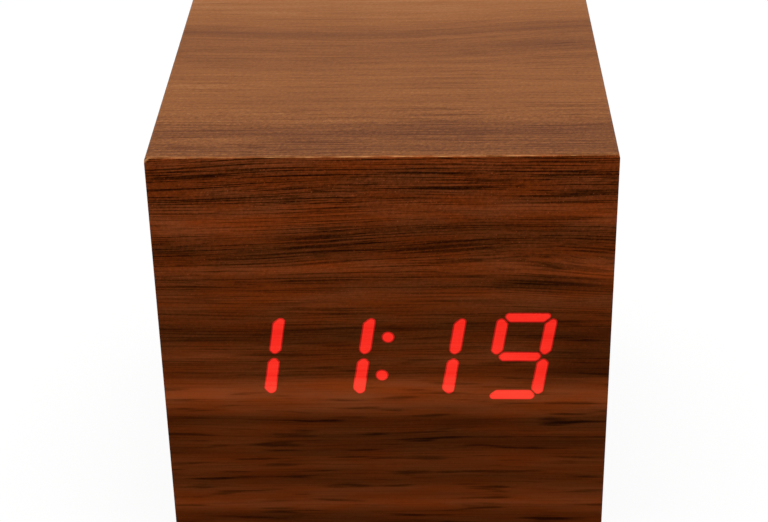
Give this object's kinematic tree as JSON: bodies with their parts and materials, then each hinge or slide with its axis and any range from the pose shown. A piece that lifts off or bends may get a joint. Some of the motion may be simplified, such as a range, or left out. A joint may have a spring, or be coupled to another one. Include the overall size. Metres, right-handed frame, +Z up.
{
  "type": "cube digital clock",
  "caption": "Cube table clock: veneered wooden case, red LED time that shines through the front, and a back with push buttons, slide switch, power inlet and hinged battery door.",
  "frame": {"origin": "centre of the base, on the surface that the clock stands on", "axes": "+X to the right as seen from the front, +Y from the front to the back, +Z up"},
  "size_m": [0.0636, 0.0636, 0.0635],
  "materials": {
    "walnut": "satin walnut veneer on fibreboard",
    "fibreboard": "raw",
    "pine": "raw",
    "black_plastic": "matt",
    "lit_red": "lit red diffuser",
    "dark_red": "unlit red diffuser",
    "board_green": "solder mask",
    "steel": "plated",
    "brass": "bright",
    "nylon": "moulded",
    "cell_wrap": "plain printed wrap",
    "capacitor_blue": "sleeve",
    "red_lead": "soft insulation",
    "black_lead": "soft insulation",
    "grey_ribbon": "soft insulation"
  },
  "bodies": {
    "case": {"front_veneer": "walnut", "front_panel": "fibreboard", "top_panel": "walnut", "bottom_panel": "walnut", "left_panel": "walnut", "right_panel": "walnut", "back_panel": "walnut", "corner_blocks": "pine", "back_screws": "steel", "display_housing": "black_plastic", "lit_segments": "lit_red", "dark_segments": "dark_red", "colon_dots": "lit_red", "display_pins": "steel", "main_board": "board_green", "board_spacers": "nylon", "board_screws": "steel", "clock_chip": "black_plastic", "chip_leads": "steel", "crystal": "steel", "buzzer": "black_plastic", "capacitor": "capacitor_blue", "lead_sockets": "nylon", "battery_tray": "black_plastic", "tray_screws": "steel", "aaa_cells": "cell_wrap", "contact_plates": "steel", "contact_springs": "steel", "button_board": "board_green", "tact_switches": "black_plastic", "control_board": "board_green", "power_jack": "black_plastic", "jack_pin": "brass", "microphone": "steel", "switch_shell": "steel", "rear_spacers": "nylon", "rear_board_screws": "steel", "battery_lead_red": "red_lead", "battery_lead_black": "black_lead", "button_ribbon": "grey_ribbon", "control_ribbon": "grey_ribbon"},
    "battery_door": {"battery_door": "black_plastic"},
    "set_button": {"set_button": "black_plastic", "set_plunger": "nylon"},
    "up_button": {"up_button": "black_plastic", "up_plunger": "nylon"},
    "down_button": {"down_button": "black_plastic", "down_plunger": "nylon"},
    "switch_knob": {"switch_knob": "black_plastic"}
  },
  "joints": [
    {"name": "door_hinge", "type": "hinge", "parent": "case", "child": "battery_door", "pos_m": [0, 0.02955, 0.0136], "axis": [-1, 0, 0], "range_deg": [0, 95]},
    {"name": "set_press", "type": "slide", "parent": "case", "child": "set_button", "axis": [0, -1, 0], "range_m": [0, 0.0005], "stiffness_N_per_m": 1600},
    {"name": "up_press", "type": "slide", "parent": "case", "child": "up_button", "axis": [0, -1, 0], "range_m": [0, 0.0005], "stiffness_N_per_m": 1600},
    {"name": "down_press", "type": "slide", "parent": "case", "child": "down_button", "axis": [0, -1, 0], "range_m": [0, 0.0005], "stiffness_N_per_m": 1600},
    {"name": "switch_slide", "type": "slide", "parent": "case", "child": "switch_knob", "axis": [1, 0, 0], "range_m": [0, 0.002]}
  ]
}
